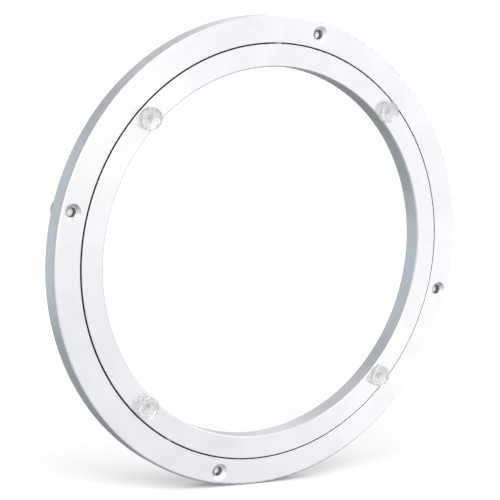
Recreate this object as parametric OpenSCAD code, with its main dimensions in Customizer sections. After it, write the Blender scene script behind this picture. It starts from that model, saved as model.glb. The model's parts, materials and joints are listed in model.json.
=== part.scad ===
// Turntable ring bearing: a flat turning ring runs inside a flat fixed ring on a
// caged ball race. Push-in bumpers stand on the turning ring and push-in feet
// stand under the fixed ring. The axis is +Z and the feet stand on z = 0.

/* [Rings] */
// Outside diameter of the fixed ring
outer_d = 300; // [240:1:400]
// Width of the fixed ring's band, from its bore to its outside
outer_band = 17; // [15:0.1:24]
// Running gap between the two rings
ring_gap = 0.8; // [0.7:0.1:1.2]
// Width of the turning ring's band
inner_band = 14.2; // [13:0.1:24]
// Thickness of each ring
ring_t = 12.3; // [10.5:0.1:16]
// How far the turning ring stands above the fixed ring
rotor_lift = 0.5; // [0:0.1:1]
// Rounding of the fixed ring's top outer edge
rim_round = 1.6; // [0.4:0.1:2]
// Chamfer on the top edge of the turning ring's bore
bore_chamfer = 0.7; // [0.2:0.1:1.2]
// Rounding of every other edge of the rings
edge_round = 0.4; // [0.1:0.1:0.6]

/* [Ball race] */
// Diameter of a ball
ball_d = 5; // [4:0.1:5.5]
// Radial clearance between a ball and its grooves
ball_clearance = 0.2; // [0.1:0.05:0.3]
// Balls held by one cage strip
balls_per_strip = 15; // [8:1:18]
// Height of a cage strip
strip_h = 7.4; // [6.8:0.1:8]
// Thickness of a cage strip
strip_t = 0.4; // [0.3:0.05:0.5]
// Angle left open between one cage strip and the next, in degrees
strip_end_gap = 2; // [1:0.5:3]
// Clearance around a ball in its pocket
pocket_clearance = 0.15; // [0.1:0.05:0.3]

/* [Filling plug] */
// Diameter of the hole that the balls are put in through, and of its plug
plug_d = 6; // [5.6:0.1:6.4]
// How far the plug's outer end sits below the rim
plug_recess = 0.4; // [0.1:0.1:1]
// Diameter of the set screw that locks the plug
set_screw_d = 4; // [3:0.5:4]
// Length of the set screw
set_screw_len = 4; // [3.5:0.5:4.5]
// Size across the flats of the set screw's socket
socket_flats = 2; // [1.5:0.1:2]
// Depth of the set screw's socket
socket_depth = 1.8; // [1:0.1:2]

/* [Screw holes] */
// Diameter of the circle that the screw holes lie on
screw_pcd = 284; // [230:0.5:380]
// Diameter of a screw hole
screw_hole_d = 5.8; // [4:0.1:7]
// Diameter of a screw hole's countersink at the top face
countersink_d = 10.8; // [8:0.1:12]
// Angle of the countersink's cone, in degrees
countersink_angle = 100; // [82:1:120]

/* [Bumpers and feet] */
// Diameter of a bumper's head
bumper_head_d = 14; // [10:0.5:14]
// Height of a bumper's head
bumper_head_h = 4.5; // [3:0.1:8]
// Rounding of the head's edge
bumper_edge = 0.8; // [0.3:0.1:1.2]
// Diameter of the stem, and of the hole it is pushed into
bumper_stem_d = 5.8; // [4:0.1:6]
// Length of the stem below the head
bumper_stem_len = 7.2; // [3:0.1:7.5]
// Diameter of the circle that the bumpers lie on
bumper_pcd = 249.2; // [200:0.1:340]
// Angle of the first bumper from the first screw hole, in degrees
bumper_start = 59; // [0:1:89]

/* [Hidden] */
$fn = 180;

quarter = 90;
hole_count = 4;
plug_angle = 45;
through = 1;

outer_r = outer_d / 2;
outer_bore_r = outer_r - outer_band;
inner_rim_r = outer_bore_r - ring_gap;
inner_bore_r = inner_rim_r - inner_band;

outer_z = bumper_head_h;
outer_top = outer_z + ring_t;
inner_z = outer_z + rotor_lift;
inner_top = inner_z + ring_t;
race_z = (outer_z + inner_top) / 2;
race_r = (outer_bore_r + inner_rim_r) / 2;
ball_r = ball_d / 2;
groove_r = ball_r + ball_clearance;

ball_step = quarter / balls_per_strip;
strip_span = quarter - strip_end_gap;

plug_r = plug_d / 2;
set_screw_r = set_screw_d / 2;
set_screw_z = outer_z + 0.2;
set_screw_ring_r = outer_r - outer_band / 2 + 0.4;

screw_r = screw_pcd / 2;
countersink_depth = (countersink_d - screw_hole_d) / 2 / tan(countersink_angle / 2);
bumper_r = bumper_pcd / 2;

aluminium = [0.85, 0.86, 0.88];
clear_vinyl = [0.9, 0.93, 0.95, 0.5];
ball_steel = [0.62, 0.64, 0.67];
cage_nylon = [0.08, 0.08, 0.09];
screw_steel = [0.2, 0.2, 0.22];

// Takes a square corner off a profile and leaves it round. The corner's own sides
// run in the directions that inward gives, such as [1, -1].
module corner_cut(corner, inward, r) {
    translate(corner)
        difference() {
            square(2 * r, center = true);
            translate(r * inward)
                circle(r = r, $fn = 32);
        }
}

// A flat ring from radius r_in to r_out, standing from z0 to z1. Its top edges are cut
// as given, and a chamfer of 0 leaves the bore's top edge round.
module flat_ring(r_in, r_out, z0, z1, in_chamfer, out_round) {
    rotate_extrude()
        difference() {
            translate([r_in, z0])
                square([r_out - r_in, z1 - z0]);
            corner_cut([r_in, z0], [1, 1], edge_round);
            corner_cut([r_out, z0], [-1, 1], edge_round);
            corner_cut([r_out, z1], [-1, -1], out_round);
            if (in_chamfer > 0)
                translate([r_in, z1])
                    rotate(45)
                        square(in_chamfer * sqrt(2), center = true);
            else
                corner_cut([r_in, z1], [1, -1], edge_round);
        }
}

// The ring of space that the balls run in.
module race_groove() {
    rotate_extrude()
        translate([race_r, race_z])
            circle(r = groove_r, $fn = 48);
}

// Puts its children at a radius and an angle about the axis.
module around(angle, radius) {
    rotate([0, 0, angle])
        translate([radius, 0, 0])
            children();
}

// A straight hole with a countersink at the top face of the fixed ring.
module screw_hole() {
    translate([0, 0, outer_z - through])
        cylinder(d = screw_hole_d, h = ring_t + 2 * through, $fn = 48);
    translate([0, 0, outer_top - countersink_depth])
        cylinder(d1 = screw_hole_d, d2 = countersink_d, h = countersink_depth, $fn = 48);
}

// A cylinder that lies along the filling plug's axis between two radii.
module plug_bar(from_r, to_r) {
    around(plug_angle, from_r)
        translate([0, 0, race_z])
            rotate([0, 90, 0])
                cylinder(r = plug_r, h = to_r - from_r, $fn = 48);
}

// The set screw's cylinder, from z0 to z1.
module set_screw_bar(z0, z1) {
    around(plug_angle, set_screw_ring_r)
        translate([0, 0, z0])
            cylinder(r = set_screw_r, h = z1 - z0, $fn = 48);
}

// A bumper pushed down into z = 0: its stem is below and its head above.
module bumper() {
    flat = bumper_head_d / 2 - bumper_edge;
    rotate_extrude($fn = 64) {
        square([flat, bumper_head_h]);
        square([bumper_head_d / 2, bumper_head_h - bumper_edge]);
        translate([flat, bumper_head_h - bumper_edge])
            intersection() {
                circle(r = bumper_edge, $fn = 32);
                square(bumper_edge);
            }
        translate([0, -bumper_stem_len])
            square([bumper_stem_d / 2, bumper_stem_len + bumper_edge]);
    }
}

module outer_ring() {
    color(aluminium)
        difference() {
            flat_ring(outer_bore_r, outer_r, outer_z, outer_top, 0, rim_round);
            race_groove();
            for (i = [0 : hole_count - 1])
                around(i * quarter, screw_r)
                    screw_hole();
            plug_bar(race_r, outer_r + through);
            set_screw_bar(outer_z - through, race_z);
        }
}

module inner_ring() {
    color(aluminium)
        difference() {
            flat_ring(inner_bore_r, inner_rim_r, inner_z, inner_top, bore_chamfer, edge_round);
            race_groove();
            for (i = [0 : hole_count - 1])
                around(bumper_start + i * quarter, bumper_r)
                    translate([0, 0, inner_z - through])
                        cylinder(d = bumper_stem_d, h = ring_t + 2 * through, $fn = 48);
        }
}

// The plug's inner end carries on the bore and the groove of the fixed ring.
module fill_plug() {
    color(aluminium)
        difference() {
            plug_bar(race_r, outer_r - plug_recess);
            translate([0, 0, outer_z])
                cylinder(r = outer_bore_r, h = ring_t);
            race_groove();
            set_screw_bar(outer_z, set_screw_z + set_screw_len);
        }
}

module plug_set_screw() {
    color(screw_steel)
        difference() {
            set_screw_bar(set_screw_z, set_screw_z + set_screw_len);
            around(plug_angle, set_screw_ring_r)
                translate([0, 0, set_screw_z - through])
                    cylinder(d = socket_flats / cos(30), h = socket_depth + through, $fn = 6);
        }
}

// A thin band along one quarter of the gap, with a pocket for each ball.
module cage_strip(i) {
    color(cage_nylon)
        rotate([0, 0, (i - 1) * quarter])
            difference() {
                rotate([0, 0, strip_end_gap / 2])
                    rotate_extrude(angle = strip_span)
                        translate([race_r - strip_t / 2, race_z - strip_h / 2])
                            square([strip_t, strip_h]);
                for (b = [0 : balls_per_strip - 1])
                    around((b + 0.5) * ball_step, race_r - strip_t)
                        translate([0, 0, race_z])
                            rotate([0, 90, 0])
                                cylinder(r = ball_r + pocket_clearance,
                                         h = 2 * strip_t, $fn = 32);
            }
}

module ball_set(i) {
    color(ball_steel)
        for (b = [0 : balls_per_strip - 1])
            around((i - 1) * quarter + (b + 0.5) * ball_step, race_r)
                translate([0, 0, race_z])
                    sphere(r = ball_r, $fn = 32);
}

module pad(i) {
    color(clear_vinyl)
        around(bumper_start + (i - 1) * quarter, bumper_r)
            translate([0, 0, inner_top])
                bumper();
}

module foot(i) {
    color(clear_vinyl)
        around((i - 1) * quarter, screw_r)
            translate([0, 0, outer_z])
                mirror([0, 0, 1])
                    bumper();
}

outer_ring();
inner_ring();
fill_plug();
plug_set_screw();
cage_strip(1);  // cage_strip_1
cage_strip(2);  // cage_strip_2
cage_strip(3);  // cage_strip_3
cage_strip(4);  // cage_strip_4
ball_set(1);  // ball_set_1
ball_set(2);  // ball_set_2
ball_set(3);  // ball_set_3
ball_set(4);  // ball_set_4
pad(1);  // pad_1
pad(2);  // pad_2
pad(3);  // pad_3
pad(4);  // pad_4
foot(1);  // foot_1
foot(2);  // foot_2
foot(3);  // foot_3
foot(4);  // foot_4
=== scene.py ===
import json
import math

import bmesh
import bpy
from mathutils import Matrix, Vector


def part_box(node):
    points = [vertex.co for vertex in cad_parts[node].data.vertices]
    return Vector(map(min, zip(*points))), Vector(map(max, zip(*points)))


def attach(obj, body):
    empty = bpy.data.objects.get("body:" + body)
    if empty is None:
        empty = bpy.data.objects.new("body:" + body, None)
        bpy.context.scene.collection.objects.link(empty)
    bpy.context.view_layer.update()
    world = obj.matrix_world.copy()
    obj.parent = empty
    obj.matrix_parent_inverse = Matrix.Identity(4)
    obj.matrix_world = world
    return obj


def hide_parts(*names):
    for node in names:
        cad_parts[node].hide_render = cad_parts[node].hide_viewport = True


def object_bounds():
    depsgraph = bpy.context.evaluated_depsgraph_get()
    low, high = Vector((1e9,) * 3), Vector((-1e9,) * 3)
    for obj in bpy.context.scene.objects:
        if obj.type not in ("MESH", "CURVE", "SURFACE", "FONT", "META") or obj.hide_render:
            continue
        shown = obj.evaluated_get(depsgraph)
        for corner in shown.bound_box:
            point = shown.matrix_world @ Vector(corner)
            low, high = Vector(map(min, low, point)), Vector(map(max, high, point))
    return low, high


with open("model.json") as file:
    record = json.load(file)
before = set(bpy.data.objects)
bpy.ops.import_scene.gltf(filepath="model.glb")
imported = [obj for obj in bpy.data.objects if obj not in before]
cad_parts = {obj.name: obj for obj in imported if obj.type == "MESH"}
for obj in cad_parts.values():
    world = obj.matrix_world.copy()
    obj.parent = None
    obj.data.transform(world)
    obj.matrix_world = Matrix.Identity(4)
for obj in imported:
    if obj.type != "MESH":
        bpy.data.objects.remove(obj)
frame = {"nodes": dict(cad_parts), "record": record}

# Turntable ring bearing: the turned aluminium rings, the caged balls and the plug are the CAD
# nodes with finished materials, and the clear push-in bumpers and feet are modelled here.

MM = 0.001
CAD_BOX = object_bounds()

OUTER_LO, OUTER_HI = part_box("outer_ring")
INNER_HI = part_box("inner_ring")[1]
OUTER_RADIUS = OUTER_HI.x
FACE_Z = OUTER_HI.z

# The rings stand on edge for the portrait: this is the direction, in the rings' plane, that
# points up in it, as an angle from +X.
UP_ANGLE = math.radians(100)
UP = Vector((math.cos(UP_ANGLE), math.sin(UP_ANGLE), 0))
SIDE = Vector((math.sin(UP_ANGLE), -math.cos(UP_ANGLE), 0))
FRONT = Vector((0, 0, 1))


# ---------------------------------------------------------------- shader node helpers

def new_material(name):
    material = bpy.data.materials.new(name)
    material.use_nodes = True
    return material, material.node_tree.nodes, material.node_tree.links


def operator(nodes, links, kind="ShaderNodeMath"):
    """Gives a function that adds a node of this kind and returns one of its outputs."""
    def operate(operation, *values, output=0):
        node = nodes.new(kind)
        node.operation = operation
        for slot, value in enumerate(values):
            if isinstance(value, (int, float, tuple)):
                node.inputs[slot].default_value = value
            else:
                links.new(value, node.inputs[slot])
        return node.outputs[output]

    return operate


def smooth_step(nodes, links, value, start, end):
    """0 to 1, with soft ends, as the value goes from start to end."""
    step = nodes.new("ShaderNodeMapRange")
    step.interpolation_type = "SMOOTHSTEP"
    step.inputs["From Min"].default_value = start
    step.inputs["From Max"].default_value = end
    links.new(value, step.inputs["Value"])
    return step.outputs["Result"]


# ---------------------------------------------------------------- camera and studio

LENS_MM = 113.1
SENSOR_MM = 36
CLIP_NEAR = 0.05
CLIP_FAR = 50
VIEW_AZIMUTH = math.radians(267.07)
VIEW_ELEVATION = math.radians(56.34)
VIEW_DISTANCE = 0.985
VIEW_TARGET = Vector((-15.5 * MM, 0.1 * MM, FACE_Z))
VIEW_UP = Vector((-0.17175, 0.97407, -0.1474))


def make_camera():
    """The portrait camera: it looks down on the ring face, rolled so that UP is upwards."""
    flat = math.cos(VIEW_ELEVATION)
    back = Vector((
        math.sin(VIEW_AZIMUTH) * flat,
        -math.cos(VIEW_AZIMUTH) * flat,
        math.sin(VIEW_ELEVATION),
    ))
    data = bpy.data.cameras.new("portrait_camera")
    data.lens = LENS_MM
    data.sensor_width = SENSOR_MM
    data.clip_start = CLIP_NEAR
    data.clip_end = CLIP_FAR
    camera = bpy.data.objects.new("portrait_camera", data)
    camera.location = VIEW_TARGET + back * VIEW_DISTANCE
    up = VIEW_UP - back * VIEW_UP.dot(back)
    right = up.cross(back).normalized()
    up = back.cross(right)
    camera.rotation_euler = Matrix((right, up, back)).transposed().to_euler()
    bpy.context.collection.objects.link(camera)
    bpy.context.scene.camera = camera


# The softbox's place and the length of its sides, in metres, and its power.
SOFTBOX_PLACE = SIDE * -0.5 + UP * 0.9 + FRONT * 1
SOFTBOX_SIZE = 1.4
SOFTBOX_WATTS = 20


def make_softbox():
    """A soft light at the upper left, in front of the rings. The metal doesn't reflect it."""
    data = bpy.data.lights.new("front_softbox", "AREA")
    data.shape = "RECTANGLE"
    data.size = data.size_y = SOFTBOX_SIZE
    data.energy = SOFTBOX_WATTS
    light = bpy.data.objects.new("front_softbox", data)
    light.location = SOFTBOX_PLACE
    aim = (CAD_BOX[0] + CAD_BOX[1]) / 2
    light.rotation_euler = (aim - SOFTBOX_PLACE).to_track_quat("-Z", "Y").to_euler()
    light.visible_glossy = False
    bpy.context.collection.objects.link(light)


# How far the floor reaches from under the rings' middle, in metres: left, right, back and front.
# From its middle it is solid for this part of the way to an edge, and then it fades out.
FLOOR_REACH = (-0.26, 0.34, -0.2, 0.12)
FLOOR_SOLID_PART = 0.75
FLOOR_COLOUR = (0.82, 0.82, 0.82, 1)
FLOOR_ROUGHNESS = 0.9


def make_floor():
    """A pale floor under the lowest point of the standing rings. It fades out at its edges and is
    clear from below, so that it never hides the object from another side."""
    mesh = bpy.data.meshes.new("studio_floor")
    base = -UP * OUTER_RADIUS
    left, right, back, front = FLOOR_REACH
    corners = [base + SIDE * x + FRONT * y for x, y in
               ((left, back), (left, front), (right, front), (right, back))]
    mesh.from_pydata([c[:] for c in corners], [], [(0, 1, 2, 3)])
    floor = bpy.data.objects.new("studio_floor", mesh)
    bpy.context.collection.objects.link(floor)
    floor.visible_glossy = False

    material, nodes, links = new_material("studio_floor")
    maths = operator(nodes, links)
    vector_maths = operator(nodes, links, "ShaderNodeVectorMath")
    shader = nodes["Principled BSDF"]
    shader.inputs["Base Color"].default_value = FLOOR_COLOUR
    shader.inputs["Roughness"].default_value = FLOOR_ROUGHNESS
    shader.inputs["Specular IOR Level"].default_value = 0

    # 1 in the middle of the floor, and 0 at its edges
    centre = (base + SIDE * (left + right) / 2 + FRONT * (back + front) / 2)[:]
    place = nodes.new("ShaderNodeTexCoord").outputs["Object"]
    inner = vector_maths("SUBTRACT", place, centre)
    share = 1
    for direction, reach in ((SIDE, (right - left) / 2), (FRONT, (front - back) / 2)):
        part = vector_maths("DOT_PRODUCT", inner, direction[:], output="Value")
        fade = smooth_step(nodes, links, maths("ABSOLUTE", part), reach,
                           reach * FLOOR_SOLID_PART)
        share = maths("MULTIPLY", fade, share)
    above = maths("SUBTRACT", 1, nodes.new("ShaderNodeNewGeometry").outputs["Backfacing"])
    share = maths("MULTIPLY", share, above)

    mix = nodes.new("ShaderNodeMixShader")
    links.new(share, mix.inputs[0])
    links.new(nodes.new("ShaderNodeBsdfTransparent").outputs[0], mix.inputs[1])
    links.new(shader.outputs[0], mix.inputs[2])
    links.new(mix.outputs[0], nodes["Material Output"].inputs["Surface"])
    mesh.materials.append(material)


# In the world below, a pair is where the view direction's part along an axis starts and ends
# a fade from 0 to 1.
WHITE = (1, 1, 1, 1)

# The level of the backdrop behind the object, and what is taken off its colour towards UP,
# except where the view points steeply at the rings' face.
BACKDROP = 1.17
BACKDROP_SHADE = (-0.58, -0.575, -0.565)
SHADE_FRONT_FADE = (-0.66, -0.48)
SHADE_UP_FADE = (0.2, 0.55)

# The even level of the light that reaches matt surfaces.
ROOM = 0.95

# The room that the metal reflects: an even level, a brighter half in front of the rings that
# fades low down and at the left, a rise towards the upper right, and soft panels.
AMBIENT = (0.26, 0.268, 0.271, 1)
FRONT_LEVEL = (0.3, 0.3, 0.3)
FRONT_FADE = (-0.3, 0.08)
LOW_FADE = (-1, -0.35)
LEFT_FADE = (-1.1, -0.3)
FRONT_RISE = (0.29, 0.293, 0.335)
RISE_DIRECTION = SIDE * 0.6 + UP * 0.8
RISE_FADE = (-0.15, 0.3)

# A panel is its direction (side, up, front), the angles where its edge starts and ends in
# degrees, and its colour.
SOFT_PANELS = (
    (-0.3, 0.42, 0.86, 8, 42, (1.34, 1.27, 1.12)),
    (-0.25, -0.4, 0.88, 8, 38, (0.31, 0.325, 0.4)),
    (0.9, 0.1, 0.35, 8, 50, (0.43, 0.42, 0.39)),
    (0.35, -0.62, 0.7, 8, 35, (0.19, 0.19, 0.21)),
    (-0.5, 0, -0.87, 4, 32, (0.287, 0.361, 0.417)),
    (0.68, 0.58, -0.45, 8, 42, (0.5, 0.48, 0.51)),
    (0.2, 0.85, -0.45, 8, 45, (0.33, 0.32, 0.33)),
    (-0.35, -0.45, -0.82, 4, 32, (0.09, 0.135, 0.15)),
    (-0.3, 0.5, -0.81, 4, 32, (0.17, 0.186, 0.208)),
    (-0.95, -0.1, 0.2, 10, 50, (0.3, 0.31, 0.33)),
    (0.55, 0.79, 0.24, 5, 25, (0.25, 0.25, 0.25)),
)


def make_world():
    world = bpy.data.worlds.new("studio")
    bpy.context.scene.world = world
    world.use_nodes = True
    nodes, links = world.node_tree.nodes, world.node_tree.links
    nodes.clear()
    vector_maths = operator(nodes, links, "ShaderNodeVectorMath")
    view = nodes.new("ShaderNodeTexCoord").outputs["Generated"]

    def background(strength):
        node = nodes.new("ShaderNodeBackground")
        node.inputs["Color"].default_value = WHITE
        node.inputs["Strength"].default_value = strength
        return node

    def colour(value):
        node = nodes.new("ShaderNodeRGB")
        node.outputs[0].default_value = value
        return node.outputs[0]

    def along(direction, fade):
        """0 to 1 as the view direction's part along this one goes through the fade."""
        part = vector_maths("DOT_PRODUCT", view, direction.normalized()[:], output="Value")
        return smooth_step(nodes, links, part, *fade)

    def scaled(tint, share):
        node = nodes.new("ShaderNodeVectorMath")
        node.operation = "SCALE"
        links.new(share, node.inputs["Scale"])
        if isinstance(tint, tuple):
            node.inputs[0].default_value = tint
        else:
            links.new(tint, node.inputs[0])
        return node.outputs[0]

    def added(first, second):
        return vector_maths("ADD", first, second)

    # the dome is what shiny surfaces see, and the two others take their own kind of ray from it
    dome, room, seen = background(1), background(ROOM), background(BACKDROP)
    path = nodes.new("ShaderNodeLightPath")
    surface = dome.outputs[0]
    for kind, light in (("Is Diffuse Ray", room), ("Is Camera Ray", seen)):
        mix = nodes.new("ShaderNodeMixShader")
        links.new(path.outputs[kind], mix.inputs[0])
        links.new(surface, mix.inputs[1])
        links.new(light.outputs[0], mix.inputs[2])
        surface = mix.outputs[0]
    links.new(surface, nodes.new("ShaderNodeOutputWorld").inputs[0])

    front_half = along(FRONT, FRONT_FADE)
    level = scaled(scaled(FRONT_LEVEL, front_half), along(UP, LOW_FADE))
    total = added(colour(AMBIENT), scaled(level, along(SIDE, LEFT_FADE)))
    rise = along(RISE_DIRECTION, RISE_FADE)
    total = added(total, scaled(scaled(FRONT_RISE, rise), front_half))
    for side, up, front, inner, outer, tint in SOFT_PANELS:
        place = SIDE * side + UP * up + FRONT * front
        edge = (math.cos(math.radians(outer)), math.cos(math.radians(inner)))
        total = added(total, scaled(tint, along(place, edge)))
    links.new(total, dome.inputs["Color"])

    shade = scaled(BACKDROP_SHADE, along(FRONT, SHADE_FRONT_FADE))
    shade = scaled(shade, along(UP, SHADE_UP_FADE))
    links.new(added(colour(WHITE), shade), seen.inputs["Color"])


def make_studio():
    bpy.context.scene.view_settings.view_transform = "Standard"
    make_camera()
    make_world()
    make_floor()
    make_softbox()


# ---------------------------------------------------------------- materials

# The running gap between the rings, and the drilled screw holes on the two axes, where painted
# shade goes. The painted shade of the gap reaches this far into the rings' walls, and ends this
# far below the face.
GAP_HALF = 0.4 * MM
GAP_RADIUS = INNER_HI.x + GAP_HALF
GAP_MARGIN = 0.15 * MM
GAP_DEPTH = 0.2 * MM
FOOT_LO, FOOT_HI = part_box("foot_1")
HOLE_RADIUS = (FOOT_LO.x + FOOT_HI.x) / 2
DRILLED_R = 3 * MM

# Where on a noise the dark tint ends and the light tint starts.
TINT_DARK_END = 0.3
TINT_LIGHT_START = 0.7

ALUMINIUM_DARK = (0.88, 0.879, 0.886, 1)
ALUMINIUM_LIGHT = (0.94, 0.938, 0.946, 1)
# painted shade: the dark colour of the surfaces inside the running gap and the drilled holes
ALUMINIUM_PAINTED_SHADE = (0.3, 0.3, 0.3, 1)
ALUMINIUM_ROUGHNESS = (0.26, 0.42)
ANISOTROPY = 0.75
ANISOTROPY_TURN = 0.25
# the turning marks are a noise of the radius and the height in millimetres, and of the angle
# times this
MARKS_ANGLE = 1.5
MARKS_SCALE = 2.2
GRAIN_SCALE = 2600
CLOUD_SCALE = 45
MARKS_RELIEF = 0.6
GRAIN_RELIEF = 0.4
RELIEF_STRENGTH = 0.25
RELIEF_DEPTH = 0.02 * MM

# Sockets of the colour mix node, which has the same names for its other kinds of data.
MIX_FIRST, MIX_SECOND, MIX_RESULT = 6, 7, 2

PLAIN_ROUGHNESS_SPREAD = 0.06
VINYL_IOR = 1.45


def noise(nodes, links, vector, scale, detail):
    node = nodes.new("ShaderNodeTexNoise")
    node.inputs["Scale"].default_value = scale
    node.inputs["Detail"].default_value = detail
    links.new(vector, node.inputs["Vector"])
    return node.outputs["Fac"]


def tinted(nodes, links, share, dark, light):
    """The dark colour where the share is low, and the light one where it is high."""
    ramp = nodes.new("ShaderNodeValToRGB")
    first, last = ramp.color_ramp.elements
    first.position, first.color = TINT_DARK_END, dark
    last.position, last.color = TINT_LIGHT_START, light
    links.new(share, ramp.inputs[0])
    return ramp.outputs["Color"]


def roughened(nodes, links, share, low, high):
    rough = nodes.new("ShaderNodeMapRange")
    rough.inputs["To Min"].default_value = low
    rough.inputs["To Max"].default_value = high
    links.new(share, rough.inputs["Value"])
    return rough.outputs["Result"]


def turned_aluminium(name, hole_radius=None):
    """Satin anodised aluminium with fine turning marks around the axis. The gap, and the drilled
    holes on the two axes at hole_radius, get painted shade: a darker colour inside."""
    material, nodes, links = new_material(name)
    maths = operator(nodes, links)
    shader = nodes["Principled BSDF"]
    shader.inputs["Metallic"].default_value = 1
    shader.inputs["Anisotropic"].default_value = ANISOTROPY
    shader.inputs["Anisotropic Rotation"].default_value = ANISOTROPY_TURN
    place = nodes.new("ShaderNodeTexCoord").outputs["Object"]
    split = nodes.new("ShaderNodeSeparateXYZ")
    links.new(place, split.inputs[0])
    x, y, z = (split.outputs[i] for i in range(3))
    radius = maths("SQRT", maths("ADD", maths("MULTIPLY", x, x), maths("MULTIPLY", y, y)))

    turned = nodes.new("ShaderNodeCombineXYZ")
    links.new(maths("MULTIPLY", radius, 1 / MM), turned.inputs[0])
    links.new(maths("MULTIPLY", maths("ARCTAN2", y, x), MARKS_ANGLE), turned.inputs[1])
    links.new(maths("MULTIPLY", z, 1 / MM), turned.inputs[2])
    marks = noise(nodes, links, turned.outputs[0], MARKS_SCALE, 3)
    grain = noise(nodes, links, place, GRAIN_SCALE, 2)
    cloud = noise(nodes, links, place, CLOUD_SCALE, 2)

    # the mask of the painted shade: 1 inside the running gap and the drilled holes, 0 on every
    # open surface
    inside = maths("LESS_THAN", maths("ABSOLUTE", maths("SUBTRACT", radius, GAP_RADIUS)),
                   GAP_HALF + GAP_MARGIN)
    inside = maths("MULTIPLY", inside, maths("LESS_THAN", z, FACE_Z - GAP_DEPTH))
    if hole_radius:
        far = maths("MAXIMUM", maths("ABSOLUTE", x), maths("ABSOLUTE", y))
        near = maths("MINIMUM", maths("ABSOLUTE", x), maths("ABSOLUTE", y))
        past = maths("SUBTRACT", far, hole_radius)
        away = maths("SQRT", maths("ADD", maths("MULTIPLY", past, past),
                                   maths("MULTIPLY", near, near)))
        inside = maths("MAXIMUM", inside, maths("LESS_THAN", away, DRILLED_R))
    # painted shade: the colour turns dark inside the gap and the drilled holes
    painted_shade_mix = nodes.new("ShaderNodeMix")
    painted_shade_mix.data_type = "RGBA"
    links.new(inside, painted_shade_mix.inputs["Factor"])
    links.new(tinted(nodes, links, cloud, ALUMINIUM_DARK, ALUMINIUM_LIGHT),
              painted_shade_mix.inputs[MIX_FIRST])
    painted_shade_mix.inputs[MIX_SECOND].default_value = ALUMINIUM_PAINTED_SHADE
    links.new(painted_shade_mix.outputs[MIX_RESULT], shader.inputs["Base Color"])
    links.new(roughened(nodes, links, marks, *ALUMINIUM_ROUGHNESS), shader.inputs["Roughness"])

    bump = nodes.new("ShaderNodeBump")
    bump.inputs["Strength"].default_value = RELIEF_STRENGTH
    bump.inputs["Distance"].default_value = RELIEF_DEPTH
    links.new(maths("ADD", maths("MULTIPLY", marks, MARKS_RELIEF),
                    maths("MULTIPLY", grain, GRAIN_RELIEF)), bump.inputs["Height"])
    links.new(bump.outputs["Normal"], shader.inputs["Normal"])

    tangent = nodes.new("ShaderNodeTangent")
    tangent.direction_type = "RADIAL"
    tangent.axis = "Z"
    links.new(tangent.outputs["Tangent"], shader.inputs["Tangent"])
    return material


def plain(name, colour, roughness, metallic=0.0, grain_scale=900, grain=0.08):
    """A moulded or machined surface with a fine grain."""
    material, nodes, links = new_material(name)
    shader = nodes["Principled BSDF"]
    shader.inputs["Metallic"].default_value = metallic
    place = nodes.new("ShaderNodeTexCoord").outputs["Object"]
    texture = noise(nodes, links, place, grain_scale, 3)
    dark = (*[c * (1 - grain) for c in colour], 1)
    links.new(tinted(nodes, links, texture, dark, (*colour, 1)), shader.inputs["Base Color"])
    rough = roughened(nodes, links, texture, roughness - PLAIN_ROUGHNESS_SPREAD,
                      roughness + PLAIN_ROUGHNESS_SPREAD)
    links.new(rough, shader.inputs["Roughness"])
    return material


def vinyl(name, colour, roughness, transmission):
    material = plain(name, colour, roughness, grain_scale=700, grain=0.03)
    shader = material.node_tree.nodes["Principled BSDF"]
    shader.inputs["Transmission Weight"].default_value = transmission
    shader.inputs["IOR"].default_value = VINYL_IOR
    return material


def dress_cad_nodes():
    by_slot = {
        "ball_steel": plain("ball_steel", (0.6, 0.61, 0.63), 0.12, metallic=1.0),
        "cage_nylon": plain("cage_nylon", (0.05, 0.05, 0.055), 0.5),
        "screw_steel": plain("screw_steel", (0.06, 0.06, 0.065), 0.4, metallic=1.0),
    }
    by_node = {
        "outer_ring": turned_aluminium("turned_aluminium_outer", HOLE_RADIUS),
        "inner_ring": turned_aluminium("turned_aluminium_inner"),
    }
    by_node["fill_plug"] = by_node["inner_ring"]
    for row in frame["record"]["subparts"]:
        look = by_node.get(row["node"]) or by_slot.get(row["material_slot"])
        if look is None:
            continue
        for slot in frame["nodes"][row["node"]].material_slots:
            slot.material = look


# ---------------------------------------------------------------- bumpers and feet

# The head: the radius of its round edge, the recess under that edge, and a shallow dish, given
# from its middle outwards as parts of its radius and of its depth.
EDGE_R = 0.9 * MM
EDGE_STEPS = 8
EDGE_RECESS = 0.25 * MM
EDGE_SHOULDER = 0.3 * MM
DISH_R = 4.4 * MM
DISH_DEPTH = 0.3 * MM
DISH_CURVE = ((0, 1), (0.7, 0.95), (0.88, 0.6), (1, 0.15), (1.08, 0))
# The head is this far off its seat, so that it never shares a plane with the ring.
LIFT = 0.02 * MM

# The stem, where its ribs are as parts of its length, and the curve of a rib, as radii and as
# distances towards the head.
STEM_R = 2.75 * MM
STEM_FILLET = 0.3 * MM
TIP_CHAMFER = 0.5 * MM
RIB_R = 2.87 * MM
RIB_PLACES = (0.35, 0.65)
RIB_CURVE = ((STEM_R, 0.4 * MM), (RIB_R, 0.1 * MM), (RIB_R, -0.1 * MM), (STEM_R, -0.3 * MM))

AROUND = 64
MERGE_DISTANCE = 0.001 * MM


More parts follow.
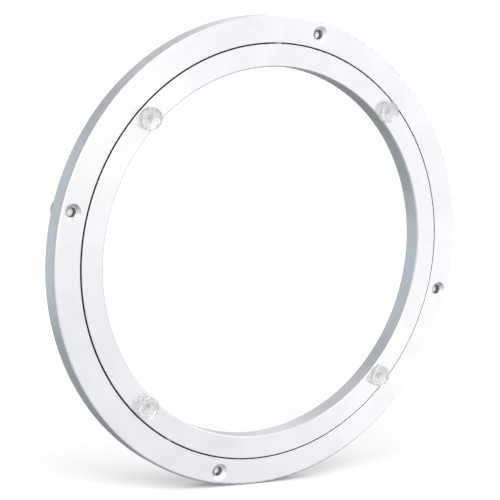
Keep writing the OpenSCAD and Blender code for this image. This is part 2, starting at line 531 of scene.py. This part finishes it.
def bumper_outline(head_r, head_h, stem_len):
    """Radius and height over the seat, from the middle of the head to the tip of the stem."""
    outline = [(DISH_R * part, head_h - DISH_DEPTH * depth) for part, depth in DISH_CURVE]
    flat = head_r - EDGE_R
    outline.append((flat - EDGE_SHOULDER, head_h))
    for i in range(EDGE_STEPS + 1):
        turn = math.pi / 2 * (1 - i / EDGE_STEPS)
        outline.append((flat + EDGE_R * math.cos(turn),
                        head_h - EDGE_R + EDGE_R * math.sin(turn)))
    outline += [(head_r, EDGE_R * 0.5), (head_r - EDGE_RECESS, LIFT),
                (STEM_R + STEM_FILLET, LIFT), (STEM_R, LIFT - STEM_FILLET)]
    for place in RIB_PLACES:
        outline += [(radius, -stem_len * place + height) for radius, height in RIB_CURVE]
    return outline + [(STEM_R, -stem_len + TIP_CHAMFER), (STEM_R - TIP_CHAMFER, -stem_len),
                      (0, -stem_len)]


def make_bumper(name, node, body, looks, up):
    """A clear push-in bumper: a round head and a ribbed stem, turned from one outline."""
    low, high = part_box(node)
    centre = (low + high) / 2
    seat_z = INNER_HI.z if up else OUTER_LO.z
    head_h = high.z - seat_z if up else seat_z - low.z
    stem_len = seat_z - low.z if up else high.z - seat_z
    outline = bumper_outline((high.x - low.x) / 2, head_h, stem_len)

    mesh = bmesh.new()
    verts = [mesh.verts.new((r, 0, z)) for r, z in outline]
    edges = [mesh.edges.new(pair) for pair in zip(verts, verts[1:])]
    bmesh.ops.spin(mesh, geom=verts + edges, cent=(0, 0, 0), axis=(0, 0, 1),
                   angle=2 * math.pi, steps=AROUND)
    bmesh.ops.remove_doubles(mesh, verts=mesh.verts, dist=MERGE_DISTANCE)
    bmesh.ops.recalc_face_normals(mesh, faces=mesh.faces)
    if not up:
        bmesh.ops.rotate(mesh, verts=mesh.verts, cent=(0, 0, 0),
                         matrix=Matrix.Rotation(math.pi, 3, "X"))
    bmesh.ops.translate(mesh, verts=mesh.verts, vec=(centre.x, centre.y, seat_z))
    for face in mesh.faces:
        face.smooth = True
        height = (face.calc_center_median().z - seat_z) * (1 if up else -1)
        face.material_index = 1 if height < 0 else 0
    data = bpy.data.meshes.new(name)
    mesh.to_mesh(data)
    mesh.free()
    for look in looks:
        data.materials.append(look)
    piece = bpy.data.objects.new(name, data)
    bpy.context.collection.objects.link(piece)
    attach(piece, body)
    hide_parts(node)


make_studio()
dress_cad_nodes()
# the looks of a bumper's head and of its stem
VINYL = (vinyl("clear_vinyl", (0.92, 0.92, 0.915), 0.36, 0.87),
         vinyl("milky_vinyl", (0.98, 0.98, 0.97), 0.4, 0))
for number in range(1, 5):
    make_bumper(f"bumper_{number}", f"pad_{number}", "rotor", VINYL, up=True)
    make_bumper(f"bumper_foot_{number}", f"foot_{number}", "base", VINYL, up=False)
